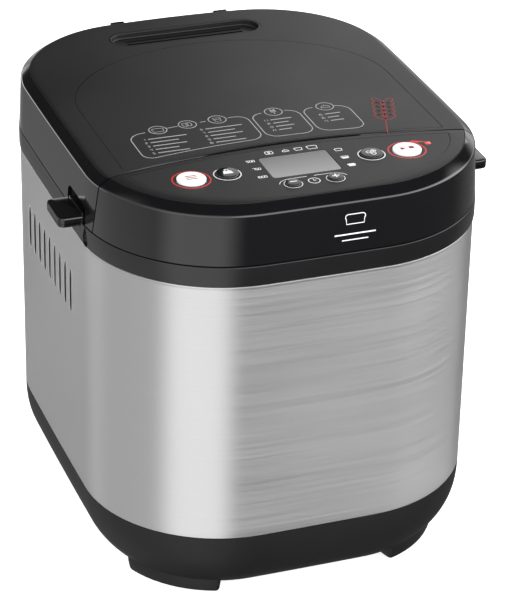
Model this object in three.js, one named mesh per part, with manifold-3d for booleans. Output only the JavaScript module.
// Bread machine: a steel-wrapped body with a hinged lid, a control panel and a bread pan.
// Millimetres, +Z up. X runs to the right, +Y to the rear. The origin is on the ground under
// the middle of the body.

import * as THREE from 'three';
import { mergeVertices } from 'three/addons/utils/BufferGeometryUtils.js';
import Module from 'manifold-3d';

const wasm = await Module();
wasm.setup();

// ---------------------------------------------------------------- driving dimensions

const GAP = 0.3; // between pieces that meet
const SEAM_GAP = 0.6; // visible seams
const CUT_OVER = 5; // how far a cutter runs past what it cuts

// Body plan, measured on the rim.
const WIDTH = 271;
const DEPTH = 326;
const FRONT_RADIUS = 4000; // almost flat front
const SIDE_RADIUS = 6300; // almost flat sides
const REAR_RADIUS = 630; // bowed rear
const FRONT_CORNER = 95;
const REAR_CORNER = 92;
const Y_FRONT = -DEPTH / 2;
const Y_REAR = DEPTH / 2;

// Heights of the stacked parts.
const FOOT_HEIGHT = 9;
const BASE_HEIGHT = 46;
const STEEL_HEIGHT = 188.5;
const RIM_HEIGHT = 14;
const COVER_HEIGHT = 35; // lid and fascia walls, seam to crease
const BEVEL_HEIGHT = 5; // crease to top face

// Shell sections.
const BASE_WALL = 2.6;
const BASE_TUCK = 19; // how far the base draws in at its foot
const BASE_CURVE = 2.7; // power of the base's curved flank
const STEEL_WALL = 0.9;
const STEEL_INSET = 0.8; // the steel sits just inside the rim
const RIM_WALL = 2.6;
const RIM_LIP = 9; // how far the rim reaches down inside the steel
const COVER_WALL = 2.5;
const COVER_INSET = 0.3;
const CREASE_INSET = 2;
const TOP_INSET = 9.2;
const DECK_THICKNESS = 2.5;
const DECK_DROP = 4; // deck below the rim's top edge

// Feet.
const FOOT_FROM = 0.12 * Math.PI; // along each corner arc, from the side
const FOOT_TO = 0.405 * Math.PI;
const FOOT_DEPTH = 26;
const PAD_THICKNESS = 1.6;
const PAD_MARGIN = 2.5;

// Air slots in the base's floor.
const FLOOR_SLOTS = { count: 3, length: 60, width: 5, pitch: 14 };

// Side vents.
const VENT_COUNT = 9;
const VENT_PITCH = 12.4;
const VENT_WIDTH = 3.4;
const VENT_LENGTH = 32;
const VENT_CENTRE_Y = 9.5;
const VENT_TOP_BELOW_RIM = 34;

// Seam between the fixed control panel and the lid.
const SEAM_RADIUS = 500;
const SEAM_SETBACK = 87; // behind the front, at the middle
const SEAM_Y = Y_FRONT + SEAM_SETBACK;
const SEAM_LEAN = 0.18; // rearward shift per millimetre down

// Inlays in the top face: one ellipse at each end, straight sides between.
const INLAY_SIDE_MARGIN = 24.5;
const INLAY_FRONT_MARGIN = 10.7;
const INLAY_REAR_MARGIN = 62;
const INLAY_BORDER = 4; // between an inlay and the seam
const INLAY_HALF_WIDTH = WIDTH / 2 - INLAY_SIDE_MARGIN;
const INLAY_FRONT_Y = SEAM_Y - 12;
const INLAY_FRONT_REACH = INLAY_FRONT_Y - Y_FRONT - INLAY_FRONT_MARGIN;
const INLAY_REAR_Y = SEAM_Y + 90;
const INLAY_REAR_REACH = Y_REAR - INLAY_REAR_MARGIN - INLAY_REAR_Y;
const INLAY_THICKNESS = 1;

// Control panel.
const PANEL_THICKNESS = 3;
const BUTTON_RISE = 1.7;
const BUTTON_TRAVEL = 1;
const BUTTON_CLEARANCE = 0.35;
const BUTTON_FLANGE = 1.5;
const FLANGE_THICKNESS = 2;
const STEM_RADIUS = 2.4;
const SWITCH_HEIGHT = 2.8;
const SWITCH_SIZE = 6;
const BUTTONS = [
  { name: 'menu_button', x: -74, y: SEAM_Y - 34, radius: 9.6, finish: 'white' },
  { name: 'weight_button', x: -49.5, y: SEAM_Y - 33, radius: 7.6, finish: 'black' },
  { name: 'minus_button', x: -14.4, y: SEAM_Y - 59, radius: 5.2, finish: 'black' },
  { name: 'plus_button', x: 14.4, y: SEAM_Y - 59, radius: 5.2, finish: 'black' },
  { name: 'crust_button', x: 49.5, y: SEAM_Y - 33, radius: 7.6, finish: 'black' },
  { name: 'start_stop_button', x: 74, y: SEAM_Y - 34, radius: 9.6, finish: 'white' },
];
const LCD = { x: 0, y: SEAM_Y - 32.3, width: 47, depth: 30.5, thickness: 2.2, corner: 2.5 };
const LCD_BEZEL = 3;
const INDICATOR = { x: 91.5, y: SEAM_Y - 27.5, radius: 2.3 };
const BOARD = { width: 184, depth: 54, thickness: 1.6, y: SEAM_Y - 37, below: 12.5, corner: 20 };
const BOARD_POSTS = [
  [-84, SEAM_Y - 20], [84, SEAM_Y - 20], [-35, SEAM_Y - 58], [35, SEAM_Y - 58],
];
const POST_RADIUS = 3;

// Lid.
const LID_MARGIN = 14; // liner edge inside the body outline
const LINER_WALL = 1.2;
const LINER_CLEAR = 1.4; // liner above the rim's top edge
const LINER_DOME = 26;
const SEAL_WIDTH = 5;
const GRILLE = { y: Y_REAR - 41, length: 113, width: 26, wall: 1.6, depth: 4.4 };
const GRILLE_SLOTS = { count: 3, length: 87, width: 2.4, pitch: 5 };
const LID_POCKET = { y: SEAM_Y + 19, length: 38, height: 13.5, depth: 8, wall: 1.8, corner: 6 };
const TAB = { reach: 15.5, length: 32, thickness: 5, lip: 1.8, ridge: 1.4, ridgeWidth: 1.6 };

// Lid hinge.
const HINGE_INSET = 4.5; // axis inside the rear of the outline
const HINGE_RISE = 6.5; // axis above the seam
const KNUCKLE_RADIUS = 3.8;
const KNUCKLE_WIDTH = 10;
const KNUCKLE_X = 34; // where the fixed and the moving knuckle meet
const PIN_RADIUS = 1.5;
const PIN_CLEARANCE = 0.3;
const HINGE_NOTCH = { halfWidth: 58, above: 4.5 };

// Baking chamber.
// The chamber is as wide as the pan and the room beside it, and as deep as the body leaves it.
const PAN_WIDTH = 176;
const PAN_SIDE_ROOM = 13; // pan to chamber, for the bail
const PAN_END_ROOM = 11; // pan to chamber, for the element
const CHAMBER_REAR_ROOM = 45;
const CHAMBER_SEAM_ROOM = 26; // from the seam to its front wall
const CHAMBER_FRONT_Y = SEAM_Y + CHAMBER_SEAM_ROOM;
const CHAMBER_REAR_Y = Y_REAR - CHAMBER_REAR_ROOM;
const CHAMBER = {
  width: PAN_WIDTH + 2 * PAN_SIDE_ROOM,
  depth: CHAMBER_REAR_Y - CHAMBER_FRONT_Y,
  y: (CHAMBER_FRONT_Y + CHAMBER_REAR_Y) / 2,
  corner: 30,
  floor: 78,
  wall: 1.2,
  flange: 9,
};
const CHAMBER_HOLE = 15.5; // radius of the spindle opening in its floor
const ELEMENT = { radius: 3.2, inset: 5.5, z: 112, corner: 26, spread: 22, tail: 16, bend: 5 };
const CLIP = { width: 8, thickness: 1.2 };
const SENSOR = { x: 52, z: 132, radius: 3, length: 14, flange: 6 };

// Bread pan.
const PAN_BELOW_DECK = 15.5;
const PAN = {
  width: PAN_WIDTH,
  depth: CHAMBER.depth - 2 * PAN_END_ROOM,
  corner: 26,
  taper: 8,
  wall: 1.8,
  bottom: CHAMBER.floor + 20,
};
const PAN_RIM = { width: 3, height: 2.6 };
const SOCKET = { radius: 35, wall: 3.5, height: 13.5, web: 3 };
const BAIL = { radius: 2, above: 6.5, reach: PAN.depth / 2 - 11, bend: 26, ear: 11, pivotGap: 0.8 };

// Kneading drive.
const SPINDLE_RADIUS = 4;
const BORE_CLEARANCE = 0.12;
const BUSH_RADIUS = 7;
const HOUSING_RADIUS = 14.5;
const DOG = { radius: 20, thickness: 3, pegRadius: 16, pegSize: 7, pegHeight: 9 };
const FOLLOWER = { length: 44, width: 7, height: 5 };
const PADDLE = { length: 62, height: 30, thickness: 5, hub: 10 };
const DRIVEN_RADIUS = 50;
const MOTOR_PULLEY_RADIUS = 8;
const PULLEY_FLANGE = 2.5;
const BELT = { width: 7, thickness: 2, z: 29 };
const MOTOR = { y: Y_FRONT + 48, radius: 29, height: 62, shaft: 3 };

// Chassis and electrics.
const CHASSIS = {
  z: 50, thickness: 2, halfWidth: WIDTH / 2 - 47.5, front: Y_FRONT + 23, rear: Y_REAR - 51, corner: 18,
};
const STAND_X = WIDTH / 2 - 65.5;
const STAND_Y = DEPTH / 2 - 67;
const STAND_RADIUS = 6;
const SCREW = { head: 4, headHeight: 1.7, shank: 1.8, length: 12, clearance: 0.3 };
const POWER_BOARD = { x: -63, y: Y_FRONT + 61, width: 46, height: 66, thickness: 1.6 };
const CAPACITOR = { x: 62, y: Y_FRONT + 55, width: 38, depth: 22, height: 42 };
const FUSE = { x: -50, z: 160, length: 26, size: 7 };
const GLAND = { x: -75, z: 37, radius: 6.5, flange: 10, flangeDepth: 3, bore: 4 };
const HARNESS_RADIUS = 2.4;
const CABLE_PORT = { x: -62, y: Y_FRONT + 51, width: 26, depth: 16 };

// ---------------------------------------------------------------- levels

const Z_BASE = FOOT_HEIGHT;
const Z_STEEL = Z_BASE + BASE_HEIGHT;
const Z_RIM = Z_STEEL + STEEL_HEIGHT;
const Z_SEAM = Z_RIM + RIM_HEIGHT;
const Z_CREASE = Z_SEAM + COVER_HEIGHT;
const Z_TOP = Z_CREASE + BEVEL_HEIGHT;
const Z_COVER = Z_SEAM + SEAM_GAP;
const Z_DECK = Z_SEAM - DECK_DROP;
const Z_LINER = Z_SEAM + LINER_CLEAR;
const Z_PAN = Z_DECK - PAN_BELOW_DECK; // the pan's top edge
const Z_HINGE = Z_SEAM + HINGE_RISE;
const Y_HINGE = DEPTH / 2 - HINGE_INSET;
const Z_PANEL = Z_TOP - PANEL_THICKNESS;
const Z_BOARD = Z_PANEL - BOARD.below;
const Z_FLOOR = Z_BASE + BASE_WALL;

// ---------------------------------------------------------------- solids

function solid(geometry) {
  const plain = geometry.clone();
  for (const name of Object.keys(plain.attributes)) {
    if (name !== 'position') plain.deleteAttribute(name);
  }
  const merged = mergeVertices(plain, 1e-4);
  const mesh = new wasm.Mesh({
    numProp: 3,
    vertProperties: Float32Array.from(merged.attributes.position.array),
    triVerts: Uint32Array.from(merged.index.array),
  });
  return new wasm.Manifold(mesh);
}

function join(...solids) {
  return solids.reduce((all, next) => all.add(next));
}

function cut(body, ...cutters) {
  return cutters.reduce((rest, next) => rest.subtract(next), body);
}

function geometryOf(body) {
  const mesh = body.getMesh();
  const geometry = new THREE.BufferGeometry();
  const position = new THREE.BufferAttribute(Float32Array.from(mesh.vertProperties), mesh.numProp);
  geometry.setAttribute('position', position);
  geometry.setIndex(Array.from(mesh.triVerts));
  geometry.computeVertexNormals();
  return geometry;
}

// ---------------------------------------------------------------- outlines

const point = (x, y) => new THREE.Vector2(x, y);

function arc(centre, radius, from, to, steps) {
  const points = [];
  for (let i = 0; i <= steps; i += 1) {
    const angle = from + ((to - from) * i) / steps;
    points.push(point(centre.x + radius * Math.cos(angle), centre.y + radius * Math.sin(angle)));
  }
  return points;
}

// Where two circles cross: the crossing that lies furthest along `towards`.
function crossing(a, radiusA, b, radiusB, towards) {
  const between = b.clone().sub(a);
  const distance = between.length();
  const along = (radiusA ** 2 - radiusB ** 2 + distance ** 2) / (2 * distance);
  const aside = Math.sqrt(radiusA ** 2 - along ** 2);
  const unit = between.clone().divideScalar(distance);
  const foot = a.clone().addScaledVector(unit, along);
  const normal = point(-unit.y, unit.x);
  const choices = [aside, -aside].map((side) => foot.clone().addScaledVector(normal, side));
  return choices.sort((p, q) => q.dot(towards) - p.dot(towards))[0];
}

// Centres and end angles of the arcs that make the right half of the body's outline.
function planArcs() {
  const front = point(0, -DEPTH / 2 + FRONT_RADIUS);
  const side = point(WIDTH / 2 - SIDE_RADIUS, 0);
  const rear = point(0, DEPTH / 2 - REAR_RADIUS);
  const frontCorner = crossing(
    front, FRONT_RADIUS - FRONT_CORNER, side, SIDE_RADIUS - FRONT_CORNER, point(1, -1));
  const rearCorner = crossing(
    rear, REAR_RADIUS - REAR_CORNER, side, SIDE_RADIUS - REAR_CORNER, point(1, 1));
  const heading = (from, to) => Math.atan2(to.y - from.y, to.x - from.x);
  const angles = {
    frontEnd: heading(front, frontCorner),
    sideStart: heading(side, frontCorner),
    sideEnd: heading(side, rearCorner),
    rearStart: heading(rear, rearCorner),
  };
  return { front, side, rear, frontCorner, rearCorner, angles };
}

const PLAN = planArcs();

// The body's outline, drawn in by `inset`, counter-clockwise from the middle of the front.
function plan(inset) {
  const { angles } = PLAN;
  const right = [
    ...arc(PLAN.front, FRONT_RADIUS - inset, -Math.PI / 2, angles.frontEnd, 2),
    ...arc(PLAN.frontCorner, FRONT_CORNER - inset, angles.frontEnd, angles.sideStart, 7).slice(1),
    ...arc(PLAN.side, SIDE_RADIUS - inset, angles.sideStart, angles.sideEnd, 2).slice(1),
    ...arc(PLAN.rearCorner, REAR_CORNER - inset, angles.sideEnd, angles.rearStart, 7).slice(1),
    ...arc(PLAN.rear, REAR_RADIUS - inset, angles.rearStart, Math.PI / 2, 3).slice(1),
  ];
  const left = right.slice(1, -1).reverse().map((p) => point(-p.x, p.y));
  return [...right, ...left];
}

function roundedRect(width, depth, corner, x = 0, y = 0, steps = 3) {
  const dx = width / 2 - corner;
  const dy = depth / 2 - corner;
  const corners = [[dx, -dy, -0.5], [dx, dy, 0], [-dx, dy, 0.5], [-dx, -dy, 1]];
  return corners.flatMap(([cx, cy, turn]) => (
    arc(point(x + cx, y + cy), corner, turn * Math.PI, (turn + 0.5) * Math.PI, steps)));
}

const circle = (radius, x = 0, y = 0, steps = 16) => (
  arc(point(x, y), radius, 0, 2 * Math.PI, steps).slice(0, -1));

const stadium = (length, width, x = 0, y = 0, steps = 3) => (
  roundedRect(length, width, width / 2 - 0.01, x, y, steps));

function halfEllipse(halfWidth, reach, y, sign, steps) {
  const points = [];
  for (let i = 0; i <= steps; i += 1) {
    const angle = (Math.PI * i) / steps;
    points.push(point(-sign * halfWidth * Math.cos(angle), y + sign * reach * Math.sin(angle)));
  }
  return points;
}

// The line of the panel and lid inlays, drawn in by `inset`.
function inlayOutline(inset) {
  const halfWidth = INLAY_HALF_WIDTH - inset;
  return [
    ...halfEllipse(halfWidth, INLAY_FRONT_REACH - inset, INLAY_FRONT_Y, -1, 14).reverse(),
    ...halfEllipse(halfWidth, INLAY_REAR_REACH - inset, INLAY_REAR_Y, 1, 14).reverse(),
  ].reverse();
}

// ---------------------------------------------------------------- shapes

function prism(points, low, high, holes = []) {
  const shape = new THREE.Shape(points);
  shape.holes = holes.map((hole) => new THREE.Path(hole));
  const geometry = new THREE.ExtrudeGeometry(shape, { depth: high - low, bevelEnabled: false });
  return solid(geometry.translate(0, 0, low));
}

// A solid that runs through one outline per level, all with the same number of points.
function loft(levels) {
  const count = levels[0].points.length;
  const position = levels.flatMap(({ z, points }) => points.flatMap((p) => [p.x, p.y, z]));
  const index = [];
  for (let level = 0; level < levels.length - 1; level += 1) {
    for (let i = 0; i < count; i += 1) {
      const a = level * count + i;
      const b = level * count + ((i + 1) % count);
      index.push(a, b, b + count, a, b + count, a + count);
    }
  }
  const top = (levels.length - 1) * count;
  for (const [a, b, c] of THREE.ShapeUtils.triangulateShape(levels[0].points, [])) {
    index.push(a, c, b, top + a, top + b, top + c);
  }
  const geometry = new THREE.BufferGeometry();
  geometry.setAttribute('position', new THREE.Float32BufferAttribute(position, 3));
  geometry.setIndex(index);
  return solid(geometry);
}

const box = (width, depth, height, x, y, z) => (
  solid(new THREE.BoxGeometry(width, depth, height).translate(x, y, z + height / 2)));

function cylinder(radius, low, high, x = 0, y = 0, steps = 16) {
  return prism(circle(radius, x, y, steps), low, high);
}

// A round bar along X.
function crossBar(radius, from, to, y, z, steps = 16) {
  const geometry = new THREE.CylinderGeometry(radius, radius, to - from, steps);
  return solid(geometry.rotateZ(Math.PI / 2).translate((from + to) / 2, y, z));
}

// A round bar along Y.
function depthBar(radius, from, to, x, z, steps = 16) {
  const geometry = new THREE.CylinderGeometry(radius, radius, to - from, steps);
  return solid(geometry.translate(x, (from + to) / 2, z));
}

function lathe(profile, x = 0, y = 0, steps = 24) {
  const points = profile.map(([radius, z]) => point(radius, z));
  const geometry = new THREE.LatheGeometry(points, steps);
  return solid(geometry.rotateX(Math.PI / 2).translate(x, y, 0));
}

// A line through the points, each corner rounded by its own radius.
function filleted(points, radii) {
  const path = new THREE.CurvePath();
  let start = points[0];
  for (let i = 1; i < points.length - 1; i += 1) {
    const corner = points[i];
    const before = corner.clone().add(
      points[i - 1].clone().sub(corner).setLength(radii[i - 1]));
    const after = corner.clone().add(points[i + 1].clone().sub(corner).setLength(radii[i - 1]));
    path.add(new THREE.LineCurve3(start, before));
    path.add(new THREE.QuadraticBezierCurve3(before, corner, after));
    start = after;
  }
  path.add(new THREE.LineCurve3(start, points[points.length - 1]));
  return path;
}

function tube(path, radius, steps, sides = 8) {
  const section = new THREE.Shape(circle(radius, 0, 0, sides));
  return solid(new THREE.ExtrudeGeometry(section, { extrudePath: path, steps, bevelEnabled: false }));
}

function mirrored(body) {
  return body.mirror([1, 0, 0]);
}

// Everything in front of the lid seam, its face drawn back by `back`.
function frontOfSeam(back) {
  const centre = point(0, SEAM_Y - SEAM_RADIUS);
  const halfAngle = Math.asin(WIDTH / SEAM_RADIUS);
  const curve = arc(
    centre, SEAM_RADIUS + back, Math.PI / 2 - halfAngle, Math.PI / 2 + halfAngle, 24);
  const outline = [...curve, point(-WIDTH, -DEPTH), point(WIDTH, -DEPTH)];
  const shape = new THREE.Shape(outline);
  const low = Z_SEAM - CUT_OVER;
  const geometry = new THREE.ExtrudeGeometry(
    shape, { depth: Z_TOP + CUT_OVER - low, bevelEnabled: false });
  geometry.translate(0, 0, low - Z_TOP);
  const lean = new THREE.Matrix4().set(1, 0, 0, 0, 0, 1, -SEAM_LEAN, 0, 0, 0, 1, 0, 0, 0, 0, 1);
  return solid(geometry.applyMatrix4(lean).translate(0, 0, Z_TOP));
}

// The outer form that the lid and the fascia share, `deep` inside its surface.
function coverForm(deep) {
  const low = deep ? Z_COVER - CUT_OVER : Z_COVER;
  return loft([
    { z: low, points: plan(COVER_INSET + deep) },
    { z: Z_CREASE - deep * 0.4, points: plan(CREASE_INSET + deep) },
    { z: Z_TOP - deep, points: plan(TOP_INSET + deep) },
  ]);
}

// ---------------------------------------------------------------- materials

function finish(color, roughness, metalness) {
  return new THREE.MeshStandardMaterial({ color, roughness, metalness, flatShading: true });
}

const FINISH = {
  base: finish(0x202123, 0.7, 0),
  rubber: finish(0x141414, 0.9, 0),
  steel: finish(0xb9b9ba, 0.35, 1),
  sheet: finish(0xa4a7aa, 0.4, 1),
  gloss: finish(0x0c0c0d, 0.15, 0),
  satin: finish(0x3a3b3d, 0.5, 0),
  lens: finish(0x8c9191, 0.1, 0),
  red: finish(0xc02020, 0.3, 0),
  white: finish(0xf0f0ee, 0.3, 0),
  black: finish(0x101011, 0.25, 0),
  board: finish(0x1f5c34, 0.6, 0),
  pan: finish(0x35363a, 0.5, 0.4),
  brass: finish(0xb08d4a, 0.35, 1),
  silicone: finish(0xc9c6c0, 0.7, 0),
};

// ---------------------------------------------------------------- base and body

function baseInset(z) {
  return BASE_TUCK * ((Z_STEEL - z) / BASE_HEIGHT) ** BASE_CURVE;
}

function baseForm(deep, low, shares) {
  const levels = shares.map((share) => low + (Z_STEEL - low) * share);
  return levels.map((z) => ({ z, points: plan(STEEL_INSET + baseInset(z) + deep) }));
}

// A band along one corner of the base, between the angles FOOT_FROM and FOOT_TO.
function footOutline(right, rear, margin) {
  const corner = rear ? PLAN.rearCorner : PLAN.frontCorner;
  const radius = (rear ? REAR_CORNER : FRONT_CORNER) - STEEL_INSET - BASE_TUCK;
  const turn = margin / radius;
  const outer = arc(corner, radius - margin, FOOT_FROM + turn, FOOT_TO - turn, 5);
  const inner = arc(corner, radius - FOOT_DEPTH + margin, FOOT_TO - turn, FOOT_FROM + turn, 5);
  const outline = [...outer, ...inner];
  const flipY = rear ? 1 : -1;
  const flipX = right ? 1 : -1;
  const placed = outline.map((p) => (
    point(flipX * p.x, corner.y + flipY * (p.y - corner.y))));
  return flipX * flipY > 0 ? placed : placed.reverse();
}

const CORNERS = [
  { name: 'front_left', right: false, rear: false },
  { name: 'front_right', right: true, rear: false },
  { name: 'rear_left', right: false, rear: true },
  { name: 'rear_right', right: true, rear: true },
];
const STANDS = [-1, 1].flatMap((sx) => [-1, 1].map((sy) => ({ x: sx * STAND_X, y: sy * STAND_Y })));

// Y of the base's rear flank at x and z.
function rearFlank(x, z) {
  const outline = plan(STEEL_INSET + baseInset(z));
  const crossings = outline.map((a, i) => {
    const b = outline[(i + 1) % outline.length];
    const across = (a.x - x) * (b.x - x) <= 0 && a.x !== b.x;
    return across ? a.y + ((b.y - a.y) * (x - a.x)) / (b.x - a.x) : -DEPTH;
  });
  return Math.max(...crossings);
}

function baseTray() {
  const inside = baseForm(BASE_WALL, Z_FLOOR, [0, 0.4, 1]);
  inside[inside.length - 1].z += CUT_OVER;
  let tray = cut(loft(baseForm(0, Z_BASE, [0, 0.15, 0.3, 0.5, 0.75, 1])), loft(inside));
  for (const corner of CORNERS) {
    const outline = footOutline(corner.right, corner.rear, 0);
    tray = join(tray, prism(outline, PAD_THICKNESS, Z_FLOOR));
  }
  for (const { x, y } of STANDS) {
    tray = join(tray, cylinder(STAND_RADIUS, Z_BASE, CHASSIS.z - GAP, x, y, 16));
    const bore = cylinder(SCREW.shank + SCREW.clearance, 0, Z_BASE + SCREW.length + 1, x, y, 8);
    tray = cut(tray, bore);
  }
  for (let i = 0; i < FLOOR_SLOTS.count; i += 1) {
    const row = (i - (FLOOR_SLOTS.count - 1) / 2) * FLOOR_SLOTS.pitch;
    tray = cut(tray, prism(stadium(FLOOR_SLOTS.length, FLOOR_SLOTS.width, 0, row), 0, Z_FLOOR + CUT_OVER));
  }
  const y = rearFlank(GLAND.x, GLAND.z);
  const through = 2 * BASE_WALL + CUT_OVER;
  return cut(tray, depthBar(GLAND.radius + GAP, y - through, y + through, GLAND.x, GLAND.z));
}

function steelWrap() {
  let wrap = prism(plan(STEEL_INSET), Z_STEEL, Z_RIM, [plan(STEEL_INSET + STEEL_WALL)]);
  const ventTop = Z_RIM - VENT_TOP_BELOW_RIM;
  const first = VENT_CENTRE_Y - ((VENT_COUNT - 1) * VENT_PITCH) / 2;
  for (let i = 0; i < VENT_COUNT; i += 1) {
    const slot = stadium(VENT_LENGTH, VENT_WIDTH, 0, 0, 2);
    const shape = new THREE.Shape(slot);
    const geometry = new THREE.ExtrudeGeometry(shape, { depth: WIDTH * 1.2, bevelEnabled: false });
    geometry.translate(0, 0, -WIDTH * 0.6).rotateY(Math.PI / 2);
    wrap = cut(wrap, solid(geometry.translate(0, first + i * VENT_PITCH, ventTop - VENT_LENGTH / 2)));
  }
  return wrap;
}

function hingePost(side) {
  const from = KNUCKLE_X - GAP / 2 - KNUCKLE_WIDTH;
  const width = KNUCKLE_WIDTH;
  const height = Z_HINGE - Z_DECK;
  const post = join(
    box(width, 2 * KNUCKLE_RADIUS, height, from + width / 2, Y_HINGE, Z_DECK),
    crossBar(KNUCKLE_RADIUS, from, from + width, Y_HINGE, Z_HINGE));
  return side > 0 ? post : mirrored(post);
}

function hingeBore() {
  return crossBar(PIN_RADIUS + PIN_CLEARANCE, -WIDTH / 4, WIDTH / 4, Y_HINGE, Z_HINGE);
}

function topRim() {
  const lipInset = STEEL_INSET + STEEL_WALL + GAP;
  const band = prism(plan(0), Z_RIM, Z_SEAM, [plan(RIM_WALL + STEEL_INSET)]);
  const lip = prism(plan(lipInset), Z_RIM - RIM_LIP, Z_RIM + 1, [plan(lipInset + RIM_WALL)]);
  const opening = chamberOutline(CHAMBER.wall + 1);
  const port = roundedRect(CABLE_PORT.width, CABLE_PORT.depth, 4, CABLE_PORT.x, CABLE_PORT.y);
  const deck = prism(plan(RIM_WALL), Z_DECK - DECK_THICKNESS, Z_DECK, [opening, port]);
  const rim = join(band, lip, deck, hingePost(1), hingePost(-1));
  return cut(rim, hingeBore());
}

function chassisPlate() {
  const length = CHASSIS.rear - CHASSIS.front;
  const middle = (CHASSIS.rear + CHASSIS.front) / 2;
  const outline = roundedRect(2 * CHASSIS.halfWidth, length, CHASSIS.corner, 0, middle);
  const holes = [
    circle(HOUSING_RADIUS - 3, 0, CHAMBER.y),
    circle(MOTOR_PULLEY_RADIUS + PULLEY_FLANGE + 2, 0, MOTOR.y),
  ];
  return prism(outline, CHASSIS.z, CHASSIS.z + CHASSIS.thickness, holes);
}

// ---------------------------------------------------------------- baking chamber

function chamberOutline(grow) {
  return roundedRect(
    CHAMBER.width + 2 * grow, CHAMBER.depth + 2 * grow, CHAMBER.corner + grow, 0, CHAMBER.y, 6);
}

function elementPort(side, from, to) {
  return depthBar(ELEMENT.radius + 2 * GAP, from, to, side * ELEMENT.spread, ELEMENT.z, 12);
}

function ovenChamber() {
  const rim = Z_DECK + CHAMBER.wall;
  const walls = prism(chamberOutline(CHAMBER.wall), CHAMBER.floor, rim);
  const flange = prism(chamberOutline(CHAMBER.flange), Z_DECK, rim);
  const inside = prism(chamberOutline(0), CHAMBER.floor + CHAMBER.wall, rim + CUT_OVER);
  const hole = cylinder(CHAMBER_HOLE, 0, CHAMBER.floor + CUT_OVER, 0, CHAMBER.y);
  const front = CHAMBER.y - CHAMBER.depth / 2;
  const ports = [-1, 1].map((side) => elementPort(side, front - CUT_OVER, front + CUT_OVER));
  const probe = depthBar(SENSOR.radius + GAP, front - CUT_OVER, front + CUT_OVER, SENSOR.x, SENSOR.z);
  return cut(join(walls, flange), inside, hole, ...ports, probe);
}

// One rod round the chamber, with both ends leaving through the front wall.
function heatingElement() {
  const halfWidth = CHAMBER.width / 2 - ELEMENT.inset;
  const front = CHAMBER.y - CHAMBER.depth / 2 + ELEMENT.inset;
  const rear = CHAMBER.y + CHAMBER.depth / 2 - ELEMENT.inset;
  const at = (x, y) => new THREE.Vector3(x, y, ELEMENT.z);
  const path = filleted([
    at(ELEMENT.spread, front - ELEMENT.tail), at(ELEMENT.spread, front), at(halfWidth, front),
    at(halfWidth, rear), at(-halfWidth, rear), at(-halfWidth, front),
    at(-ELEMENT.spread, front), at(-ELEMENT.spread, front - ELEMENT.tail),
  ], [ELEMENT.bend, ELEMENT.corner, ELEMENT.corner, ELEMENT.corner, ELEMENT.corner, ELEMENT.bend]);
  return tube(path, ELEMENT.radius, 56, 6);
}

function elementClip(side) {
  const wallX = CHAMBER.width / 2 - GAP;
  const rod = CHAMBER.width / 2 - ELEMENT.inset;
  const low = ELEMENT.z - ELEMENT.radius - GAP - CLIP.thickness;
  const high = ELEMENT.z + ELEMENT.radius + GAP + CLIP.thickness;
  const inner = rod - ELEMENT.radius - GAP - CLIP.thickness;
  const clip = cut(
    box(wallX - inner, CLIP.width, high - low, (wallX + inner) / 2, CHAMBER.y, low),
    box(
      wallX - CLIP.thickness - inner - CLIP.thickness, CLIP.width * 2,
      high - low - 2 * CLIP.thickness,
      (wallX + inner) / 2, CHAMBER.y, low + CLIP.thickness),
    box(CLIP.thickness * 4, CLIP.width * 2, ELEMENT.radius, inner, CHAMBER.y, ELEMENT.z));
  return side > 0 ? clip : mirrored(clip);
}

function temperatureSensor() {
  const front = CHAMBER.y - CHAMBER.depth / 2;
  return join(
    depthBar(SENSOR.radius, front - SENSOR.length / 2, front + SENSOR.length / 2, SENSOR.x, SENSOR.z, 12),
    depthBar(
      SENSOR.flange, front - CHAMBER.wall - GAP - 2, front - CHAMBER.wall - GAP,
      SENSOR.x, SENSOR.z, 12));
}

function thermalFuse() {
  const face = CHAMBER.y - CHAMBER.depth / 2 - CHAMBER.wall - GAP;
  const body = box(FUSE.length, FUSE.size, FUSE.size, FUSE.x, face - FUSE.size / 2, FUSE.z);
  const strap = box(FUSE.length + 16, 1, FUSE.size, FUSE.x, face - 0.5, FUSE.z);
  return join(body, strap);
}

function panClip(side) {
  const floor = CHAMBER.floor + CHAMBER.wall + GAP;
  const x = SOCKET.radius + 0.5;
  const leaf = box(1.4, 16, 13, x + 0.7, CHAMBER.y, floor);
  const foot = box(14, 16, 1.4, x + 7, CHAMBER.y, floor);
  const bent = join(leaf, foot);
  return side > 0 ? bent : mirrored(bent);
}

// ---------------------------------------------------------------- kneading drive

const HOUSING_LOW = CHASSIS.z + CHASSIS.thickness + GAP;
const HOUSING_TOP = CHAMBER.floor + 2;

function bearingHousing() {
  const bore = BUSH_RADIUS + BORE_CLEARANCE;
  const plate = CHAMBER.floor - GAP;
  return lathe([
    [bore, HOUSING_LOW], [24, HOUSING_LOW], [24, HOUSING_LOW + 3], [HOUSING_RADIUS, HOUSING_LOW + 6],
    [HOUSING_RADIUS, plate - 6], [26, plate - 3], [26, plate], [HOUSING_RADIUS, plate],
    [HOUSING_RADIUS, HOUSING_TOP], [bore, HOUSING_TOP], [bore, HOUSING_LOW],
  ], 0, CHAMBER.y);
}

function spindleBush() {
  const bore = SPINDLE_RADIUS + BORE_CLEARANCE;
  return lathe([
    [bore, HOUSING_LOW], [BUSH_RADIUS, HOUSING_LOW], [BUSH_RADIUS, HOUSING_TOP], [bore, HOUSING_TOP],
    [bore, HOUSING_LOW],
  ], 0, CHAMBER.y);
}

const DOG_LOW = HOUSING_TOP + 0.5;
const PEG_LOW = DOG_LOW + DOG.thickness;

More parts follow.
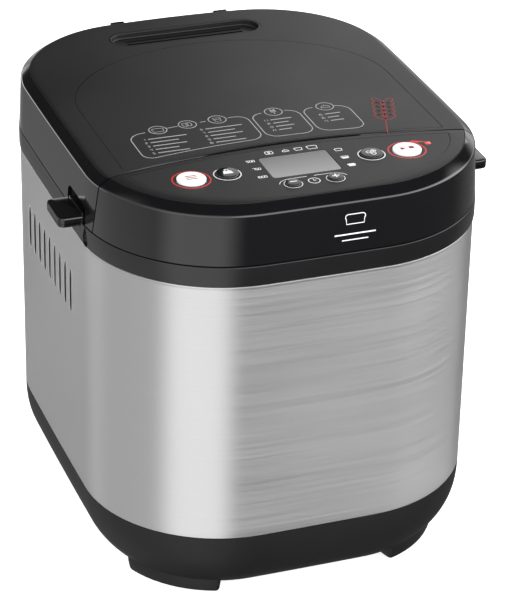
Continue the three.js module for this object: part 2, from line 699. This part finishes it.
function driveSpindle() {
  const low = BELT.z - BELT.width;
  const pegs = [-1, 1].map((side) => (
    box(DOG.pegSize, DOG.pegSize, DOG.pegHeight + 1, side * DOG.pegRadius, CHAMBER.y, PEG_LOW - 1)));
  return join(
    cylinder(SPINDLE_RADIUS, low, PEG_LOW, 0, CHAMBER.y, 32),
    cylinder(DOG.radius, DOG_LOW, PEG_LOW, 0, CHAMBER.y),
    ...pegs);
}

// A flanged pulley whose bore fits its shaft.
function pulley(radius, shaft, x, y, hub, steps = 32) {
  const bore = shaft + BORE_CLEARANCE;
  const half = BELT.width / 2 + 0.6;
  const flange = radius + PULLEY_FLANGE;
  const profile = [
    [bore, BELT.z - half - 1], [flange, BELT.z - half - 1],
    [flange, BELT.z - half], [radius, BELT.z - half], [radius, BELT.z + half],
    [flange, BELT.z + half], [flange, BELT.z + half + 1], [hub, BELT.z + half + 1],
    [hub, BELT.z + half + 4], [bore, BELT.z + half + 4], [bore, BELT.z - half - 1],
  ];
  return lathe(profile, x, y, steps);
}

function beltOutline(grow) {
  const big = DRIVEN_RADIUS + grow;
  const small = MOTOR_PULLEY_RADIUS + grow;
  const span = CHAMBER.y - MOTOR.y;
  const lean = Math.asin((big - small) / span);
  return [
    ...arc(point(0, CHAMBER.y), big, -lean, Math.PI + lean, 24),
    ...arc(point(0, MOTOR.y), small, Math.PI + lean, 2 * Math.PI - lean, 8),
  ];
}

function driveBelt() {
  const low = BELT.z - BELT.width / 2;
  const clear = 0.2;
  return prism(
    beltOutline(clear + BELT.thickness), low, low + BELT.width, [beltOutline(clear)]);
}

const MOTOR_LOW = CHASSIS.z + CHASSIS.thickness + GAP;

function motorBody() {
  const boss = MOTOR.shaft + BORE_CLEARANCE;
  return lathe([
    [boss, MOTOR_LOW], [MOTOR.radius - 3, MOTOR_LOW], [MOTOR.radius - 3, MOTOR_LOW + 4],
    [MOTOR.radius, MOTOR_LOW + 4], [MOTOR.radius, MOTOR_LOW + MOTOR.height - 4],
    [MOTOR.radius - 6, MOTOR_LOW + MOTOR.height], [0, MOTOR_LOW + MOTOR.height],
    [0, MOTOR_LOW + 20], [boss, MOTOR_LOW + 20], [boss, MOTOR_LOW],
  ], 0, MOTOR.y);
}

// ---------------------------------------------------------------- bread pan

const panDip = (z) => (PAN.taper / 2) * ((Z_PAN - z) / (Z_PAN - PAN.bottom));

function panOutline(z, deep) {
  const inset = panDip(z) + deep;
  return roundedRect(
    PAN.width - 2 * inset, PAN.depth - 2 * inset, PAN.corner - deep, 0, CHAMBER.y, 6);
}

function breadPan() {
  const top = Z_PAN;
  const level = (z, deep) => ({ z, points: panOutline(Math.min(z, top), deep) });
  const outer = loft([level(PAN.bottom, 0), level(top, 0)]);
  const inner = loft([level(PAN.bottom + PAN.wall, PAN.wall), level(top + CUT_OVER, PAN.wall)]);
  const bead = prism(panOutline(top, -PAN_RIM.width), top - PAN_RIM.height, top);
  const ears = [-1, 1].map((side) => (
    box(3, BAIL.ear, BAIL.above + 8, side * (PAN.width / 2 + 1.5), CHAMBER.y, top - 6)));
  const shaft = cylinder(SPINDLE_RADIUS + BORE_CLEARANCE, 0, PAN.bottom + CUT_OVER, 0, CHAMBER.y, 32);
  const pivots = crossBar(
    BAIL.radius + PIN_CLEARANCE, -PAN.width, PAN.width, CHAMBER.y, top + BAIL.above - 2);
  return cut(join(outer, bead, ...ears), inner, shaft, pivots);
}

function panSocket() {
  const top = PAN.bottom - GAP;
  const bore = SPINDLE_RADIUS + BORE_CLEARANCE;
  const low = top - SOCKET.height;
  return lathe([
    [bore, top - SOCKET.web], [SOCKET.radius - SOCKET.wall, top - SOCKET.web],
    [SOCKET.radius - SOCKET.wall, low], [SOCKET.radius, low], [SOCKET.radius, top], [bore, top],
    [bore, top - SOCKET.web],
  ], 0, CHAMBER.y);
}

// The bail lies back over the pan: two pivots through the ears and a straight grip.
function panHandle() {
  const z = Z_PAN + BAIL.above - 2;
  const outer = PAN.width / 2 + 3 + BAIL.pivotGap + BAIL.radius;
  const at = (x, y) => new THREE.Vector3(x, CHAMBER.y + y, z);
  const path = filleted([
    at(-outer, 0), at(-outer, BAIL.reach), at(outer, BAIL.reach), at(outer, 0),
  ], [BAIL.bend, BAIL.bend]);
  const end = outer + BAIL.radius - 0.2;
  const inner = PAN.width / 2 - 2.5;
  const pivot = crossBar(BAIL.radius, inner, end, CHAMBER.y, z, 12);
  return join(tube(path, BAIL.radius, 28, 6), pivot, mirrored(pivot));
}

const FOLLOWER_LOW = PEG_LOW + 2;
const PADDLE_LOW = PAN.bottom + PAN.wall + 2;

function paddleShaft() {
  const bar = box(FOLLOWER.width, FOLLOWER.length, FOLLOWER.height, 0, CHAMBER.y, FOLLOWER_LOW);
  return join(cylinder(SPINDLE_RADIUS, FOLLOWER_LOW, PADDLE_LOW + 24, 0, CHAMBER.y, 32), bar);
}

function kneadingPaddle() {
  const hub = cylinder(PADDLE.hub, PADDLE_LOW, PADDLE_LOW + 26, 0, CHAMBER.y);
  const shape = new THREE.Shape();
  shape.moveTo(0, 0);
  shape.lineTo(PADDLE.length - 8, 0);
  shape.quadraticCurveTo(PADDLE.length, 0, PADDLE.length, 9);
  shape.bezierCurveTo(PADDLE.length - 2, 24, PADDLE.length - 22, PADDLE.height, 12, PADDLE.height - 4);
  shape.lineTo(0, PADDLE.height - 4);
  const geometry = new THREE.ExtrudeGeometry(
    shape, { depth: PADDLE.thickness, bevelEnabled: false, curveSegments: 6 });
  geometry.rotateX(Math.PI / 2).translate(0, CHAMBER.y + PADDLE.thickness / 2, PADDLE_LOW);
  const bore = cylinder(
    SPINDLE_RADIUS + BORE_CLEARANCE, 0, PADDLE_LOW + 24 + GAP, 0, CHAMBER.y, 32);
  return cut(join(hub, solid(geometry)), bore);
}

// ---------------------------------------------------------------- control panel

function frontFascia() {
  const face = SEAM_GAP;
  const wall = cut(coverForm(0), coverForm(COVER_WALL));
  const rearWall = frontOfSeam(-face).subtract(frontOfSeam(-face - COVER_WALL));
  const ledge = prism(
    plan(TOP_INSET), Z_PANEL - GAP - COVER_WALL, Z_PANEL - GAP, [plan(TOP_INSET + 5)]);
  const inside = coverForm(1);
  const shell = join(wall, inside.intersect(join(rearWall, ledge))).intersect(frontOfSeam(-face));
  const top = prism(plan(TOP_INSET - 0.1), Z_PANEL - GAP, Z_TOP + CUT_OVER);
  const bay = prism(plan(0), 0, Z_COVER);
  return cut(shell, top, bay);
}

function switchBox(button, low) {
  return box(SWITCH_SIZE, SWITCH_SIZE, SWITCH_HEIGHT + 0.2, button.x, button.y, low - 0.2);
}

function panelBlank(inset, back, low, high) {
  return prism(plan(inset), low, high).intersect(frontOfSeam(-back));
}

function overlayBlank(inset, low, high) {
  return prism(inlayOutline(inset), low, high).intersect(frontOfSeam(-SEAM_GAP - INLAY_BORDER - inset));
}

function panelHoles(grow, low, high) {
  const holes = BUTTONS.map((button) => (
    cylinder(button.radius + BUTTON_CLEARANCE, low, high, button.x, button.y)));
  const window = roundedRect(
    LCD.width + 2 * grow, LCD.depth + 2 * grow, LCD.corner + grow, LCD.x, LCD.y);
  return [...holes, prism(window, low, high),
    cylinder(INDICATOR.radius + grow, low, high, INDICATOR.x, INDICATOR.y, 12)];
}

function controlPanel() {
  const plate = panelBlank(TOP_INSET + GAP, SEAM_GAP, Z_PANEL, Z_TOP);
  const pocket = overlayBlank(0, Z_TOP - INLAY_THICKNESS, Z_TOP + CUT_OVER);
  const posts = BOARD_POSTS.map(([x, y]) => (
    cylinder(POST_RADIUS, Z_BOARD + BOARD.thickness + GAP, Z_PANEL + 1, x, y, 12)));
  return cut(join(plate, ...posts), pocket, ...panelHoles(GAP, 0, Z_TOP + CUT_OVER));
}

function panelOverlay() {
  const sheet = overlayBlank(GAP, Z_TOP - INLAY_THICKNESS, Z_TOP);
  return cut(sheet, ...panelHoles(GAP, 0, Z_TOP + CUT_OVER));
}

function controlBoard() {
  const outline = roundedRect(BOARD.width, BOARD.depth, BOARD.corner, 0, BOARD.y);
  const top = Z_BOARD + BOARD.thickness;
  const plate = prism(outline, Z_BOARD, top);
  return join(plate, ...BUTTONS.map((button) => switchBox(button, top)));
}

function lcdModule() {
  const low = Z_BOARD + BOARD.thickness + GAP;
  const outline = roundedRect(
    LCD.width + 2 * LCD_BEZEL, LCD.depth + 2 * LCD_BEZEL, LCD.corner, LCD.x, LCD.y);
  return prism(outline, low, Z_PANEL - GAP);
}

function buttonCap(button) {
  const stemLow = Z_BOARD + BOARD.thickness + SWITCH_HEIGHT + BUTTON_TRAVEL + GAP;
  const flangeTop = Z_PANEL - GAP;
  const flangeLow = flangeTop - FLANGE_THICKNESS;
  const top = Z_TOP + BUTTON_RISE;
  const soft = 1;
  return lathe([
    [0, stemLow], [STEM_RADIUS, stemLow], [STEM_RADIUS, flangeLow],
    [button.radius + BUTTON_FLANGE, flangeLow], [button.radius + BUTTON_FLANGE, flangeTop],
    [button.radius, flangeTop], [button.radius, top - soft], [button.radius - soft, top], [0, top],
  ], button.x, button.y, 16);
}

// ---------------------------------------------------------------- lid

function pocketBlock(grow) {
  const shape = roundedRect(
    LID_POCKET.length + 2 * grow, 2 * (LID_POCKET.height + grow), LID_POCKET.corner + grow);
  const geometry = new THREE.ExtrudeGeometry(
    new THREE.Shape(shape), { depth: WIDTH / 4, bevelEnabled: false });
  // Shape x runs along Y and shape y along Z, so the extrusion runs along X.
  geometry.rotateX(Math.PI / 2).rotateZ(Math.PI / 2);
  const inner = WIDTH / 2 - COVER_INSET - LID_POCKET.depth - grow;
  return solid(geometry.translate(inner, LID_POCKET.y, Z_COVER));
}

function lidKnuckle(side) {
  const from = KNUCKLE_X + GAP / 2;
  const thick = 2 * KNUCKLE_RADIUS - 2.4;
  const arm = box(
    KNUCKLE_WIDTH, thick, Z_TOP - COVER_WALL - Z_HINGE, from + KNUCKLE_WIDTH / 2, Y_HINGE, Z_HINGE);
  const knuckle = join(crossBar(KNUCKLE_RADIUS, from, from + KNUCKLE_WIDTH, Y_HINGE, Z_HINGE), arm);
  return side > 0 ? knuckle : mirrored(knuckle);
}

function lidCover() {
  const behind = frontOfSeam(SEAM_GAP);
  const behindWall = frontOfSeam(SEAM_GAP + COVER_WALL);
  const hollow = cut(coverForm(COVER_WALL), behindWall);
  let cover = cut(coverForm(0), hollow, behind);
  const pocketWalls = pocketBlock(LID_POCKET.wall).intersect(coverForm(0));
  cover = join(cover, pocketWalls, mirrored(pocketWalls));
  cover = cut(cover, pocketBlock(0), mirrored(pocketBlock(0)));
  const inlay = cut(
    prism(inlayOutline(0), Z_TOP - INLAY_THICKNESS, Z_TOP + CUT_OVER),
    frontOfSeam(SEAM_GAP + INLAY_BORDER));
  const grille = prism(
    stadium(GRILLE.length, GRILLE.width, 0, GRILLE.y), Z_CREASE - CUT_OVER, Z_TOP + CUT_OVER);
  const notch = box(
    2 * HINGE_NOTCH.halfWidth, 3 * HINGE_INSET, Z_HINGE + HINGE_NOTCH.above, 0,
    DEPTH / 2 - HINGE_INSET, 0);
  cover = cut(cover, inlay, grille, notch);
  cover = join(cover, lidKnuckle(1), lidKnuckle(-1));
  return cut(cover, hingeBore());
}

function lidInlay() {
  const sheet = prism(inlayOutline(GAP), Z_TOP - INLAY_THICKNESS, Z_TOP);
  return cut(sheet, frontOfSeam(SEAM_GAP + INLAY_BORDER + GAP));
}

function lidLiner() {
  const outline = cut(
    prism(plan(LID_MARGIN), Z_LINER, Z_LINER + LINER_WALL),
    frontOfSeam(SEAM_GAP + COVER_WALL + GAP));
  const dome = prism(chamberOutline(LINER_WALL - 1), Z_LINER, Z_LINER + LINER_DOME);
  const inside = prism(
    chamberOutline(-1), Z_LINER - CUT_OVER, Z_LINER + LINER_DOME - LINER_WALL);
  const vents = [-1, 0, 1].map((i) => (
    cylinder(4, Z_LINER, Z_TOP, i * 24, CHAMBER.y + CHAMBER.depth / 2 - 24, 10)));
  return cut(join(outline, dome), inside, ...vents);
}

function lidSeal() {
  const low = Z_DECK + CHAMBER.wall + GAP;
  return prism(
    chamberOutline(SEAL_WIDTH + 2), low, Z_LINER - GAP, [chamberOutline(2)]);
}

function ventGrille() {
  const outline = (inset) => (
    stadium(GRILLE.length - 2 * inset, GRILLE.width - 2 * inset, 0, GRILLE.y));
  const low = Z_TOP - GRILLE.depth - GRILLE.wall;
  const tray = cut(
    prism(outline(GAP), low, Z_TOP),
    prism(outline(GAP + GRILLE.wall), low + GRILLE.wall, Z_TOP + CUT_OVER));
  const middle = (GRILLE_SLOTS.count - 1) / 2;
  const slots = Array.from({ length: GRILLE_SLOTS.count }, (_, i) => prism(
    stadium(GRILLE_SLOTS.length, GRILLE_SLOTS.width, 0, GRILLE.y + (i - middle) * GRILLE_SLOTS.pitch, 3),
    0, Z_TOP));
  return cut(tray, ...slots);
}

function lidTab(side) {
  const outer = WIDTH / 2 + TAB.reach;
  const inner = WIDTH / 2 - LID_POCKET.depth;
  const low = Z_COVER + GAP;
  const plate = box(
    outer - inner, TAB.length, TAB.thickness, (outer + inner) / 2, LID_POCKET.y, low);
  const lipFrom = WIDTH / 2 + 0.8;
  const lip = box(
    outer - lipFrom, TAB.length, TAB.lip + 1, (outer + lipFrom) / 2, LID_POCKET.y, low - TAB.lip);
  const ridge = box(
    TAB.ridgeWidth, TAB.length, TAB.ridge + 1, WIDTH / 2 - 1, LID_POCKET.y,
    low + TAB.thickness - 1);
  const tab = join(plate, lip, ridge);
  return side > 0 ? tab : mirrored(tab);
}

// ---------------------------------------------------------------- fasteners and electrics

function baseScrew({ x, y }) {
  const top = Z_BASE - GAP;
  return lathe([
    [0, top - SCREW.headHeight], [SCREW.head, top - SCREW.headHeight], [SCREW.head, top],
    [SCREW.shank, top], [SCREW.shank, Z_BASE + SCREW.length], [0, Z_BASE + SCREW.length],
  ], x, y, 8);
}

function hingePin(side) {
  const from = KNUCKLE_X - KNUCKLE_WIDTH + 0.4;
  const to = KNUCKLE_X + KNUCKLE_WIDTH - 0.4;
  const pin = crossBar(PIN_RADIUS, from, to, Y_HINGE, Z_HINGE);
  return side > 0 ? pin : mirrored(pin);
}

function cordGland() {
  const face = rearFlank(GLAND.x + GLAND.flange, GLAND.z + GLAND.flange) + GAP;
  const body = depthBar(GLAND.radius, face - 9, face + 1, GLAND.x, GLAND.z);
  const flange = depthBar(GLAND.flange, face, face + GLAND.flangeDepth, GLAND.x, GLAND.z);
  return cut(join(body, flange), depthBar(GLAND.bore, face - 20, face + 20, GLAND.x, GLAND.z));
}

function powerBoard() {
  const { x, y, width, height, thickness } = POWER_BOARD;
  const low = MOTOR_LOW;
  const plate = box(width, thickness, height, x, y, low);
  const relay = box(18, 14, 15, x - 10, y - 7, low + 8);
  const transformer = box(20, 18, 22, x + 6, y - 9, low + 34);
  return join(plate, relay, transformer);
}

function runCapacitor() {
  const { x, y, width, depth, height } = CAPACITOR;
  return prism(roundedRect(width, depth, 4, x, y), MOTOR_LOW, MOTOR_LOW + height);
}

function displayHarness() {
  const from = new THREE.Vector3(
    POWER_BOARD.x, POWER_BOARD.y - 12, MOTOR_LOW + POWER_BOARD.height + 4);
  const to = new THREE.Vector3(CABLE_PORT.x, BOARD.y + 2, Z_BOARD - GAP);
  const middle = [0.25, 0.5, 0.75].map((share) => {
    const sway = Math.sin(share * Math.PI * 2) * 3;
    return from.clone().lerp(to, share).add(new THREE.Vector3(sway, 0, 0));
  });
  const path = new THREE.CatmullRomCurve3([from, ...middle, to]);
  return tube(path, HARNESS_RADIUS, 16, 6);
}

// ---------------------------------------------------------------- assembly

const machine = new THREE.Group();

function add(name, body, material) {
  const mesh = new THREE.Mesh(geometryOf(body), material);
  mesh.name = name;
  machine.add(mesh);
}

add('base_tray', baseTray(), FINISH.base);
for (const corner of CORNERS) {
  const outline = footOutline(corner.right, corner.rear, PAD_MARGIN);
  add(`foot_pad_${corner.name}`, prism(outline, 0, PAD_THICKNESS), FINISH.rubber);
}
STANDS.forEach((stand, i) => add(`base_screw_${i + 1}`, baseScrew(stand), FINISH.steel));
add('steel_wrap', steelWrap(), FINISH.steel);
add('top_rim', topRim(), FINISH.base);
add('chassis_plate', chassisPlate(), FINISH.sheet);
add('cord_gland', cordGland(), FINISH.rubber);

add('oven_chamber', ovenChamber(), FINISH.sheet);
add('heating_element', heatingElement(), FINISH.sheet);
add('element_clip_left', elementClip(-1), FINISH.sheet);
add('element_clip_right', elementClip(1), FINISH.sheet);
add('temperature_sensor', temperatureSensor(), FINISH.brass);
add('thermal_fuse', thermalFuse(), FINISH.white);
add('pan_clip_left', panClip(-1), FINISH.sheet);
add('pan_clip_right', panClip(1), FINISH.sheet);

add('bearing_housing', bearingHousing(), FINISH.sheet);
add('spindle_bush', spindleBush(), FINISH.brass);
add('drive_spindle', driveSpindle(), FINISH.steel);
add('driven_pulley', pulley(DRIVEN_RADIUS, SPINDLE_RADIUS, 0, CHAMBER.y, 9), FINISH.black);
add('motor', motorBody(), FINISH.sheet);
add('motor_shaft', cylinder(
  MOTOR.shaft, BELT.z - BELT.width, MOTOR_LOW + 18, 0, MOTOR.y, 32), FINISH.steel);
add('motor_pulley', pulley(MOTOR_PULLEY_RADIUS, MOTOR.shaft, 0, MOTOR.y, 6, 16), FINISH.black);
add('drive_belt', driveBelt(), FINISH.rubber);
add('run_capacitor', runCapacitor(), FINISH.white);
add('power_board', powerBoard(), FINISH.board);
add('display_harness', displayHarness(), FINISH.rubber);

add('bread_pan', breadPan(), FINISH.pan);
add('pan_socket', panSocket(), FINISH.sheet);
add('pan_handle', panHandle(), FINISH.steel);
add('paddle_shaft', paddleShaft(), FINISH.steel);
add('kneading_paddle', kneadingPaddle(), FINISH.pan);

add('front_fascia', frontFascia(), FINISH.gloss);
add('control_panel', controlPanel(), FINISH.satin);
add('panel_overlay', panelOverlay(), FINISH.satin);
add('lcd_window', prism(
  roundedRect(LCD.width, LCD.depth, LCD.corner, LCD.x, LCD.y),
  Z_TOP - LCD.thickness, Z_TOP), FINISH.lens);
add('lcd_module', lcdModule(), FINISH.board);
add('indicator_lens', cylinder(
  INDICATOR.radius, Z_PANEL, Z_TOP, INDICATOR.x, INDICATOR.y, 12), FINISH.red);
add('control_board', controlBoard(), FINISH.board);
for (const button of BUTTONS) add(button.name, buttonCap(button), FINISH[button.finish]);

add('lid_cover', lidCover(), FINISH.satin);
add('lid_inlay', lidInlay(), FINISH.satin);
add('lid_liner', lidLiner(), FINISH.sheet);
add('lid_seal', lidSeal(), FINISH.silicone);
add('vent_grille', ventGrille(), FINISH.base);
add('lid_tab_left', lidTab(-1), FINISH.gloss);
add('lid_tab_right', lidTab(1), FINISH.gloss);
add('hinge_pin_left', hingePin(-1), FINISH.steel);
add('hinge_pin_right', hingePin(1), FINISH.steel);

export default machine;
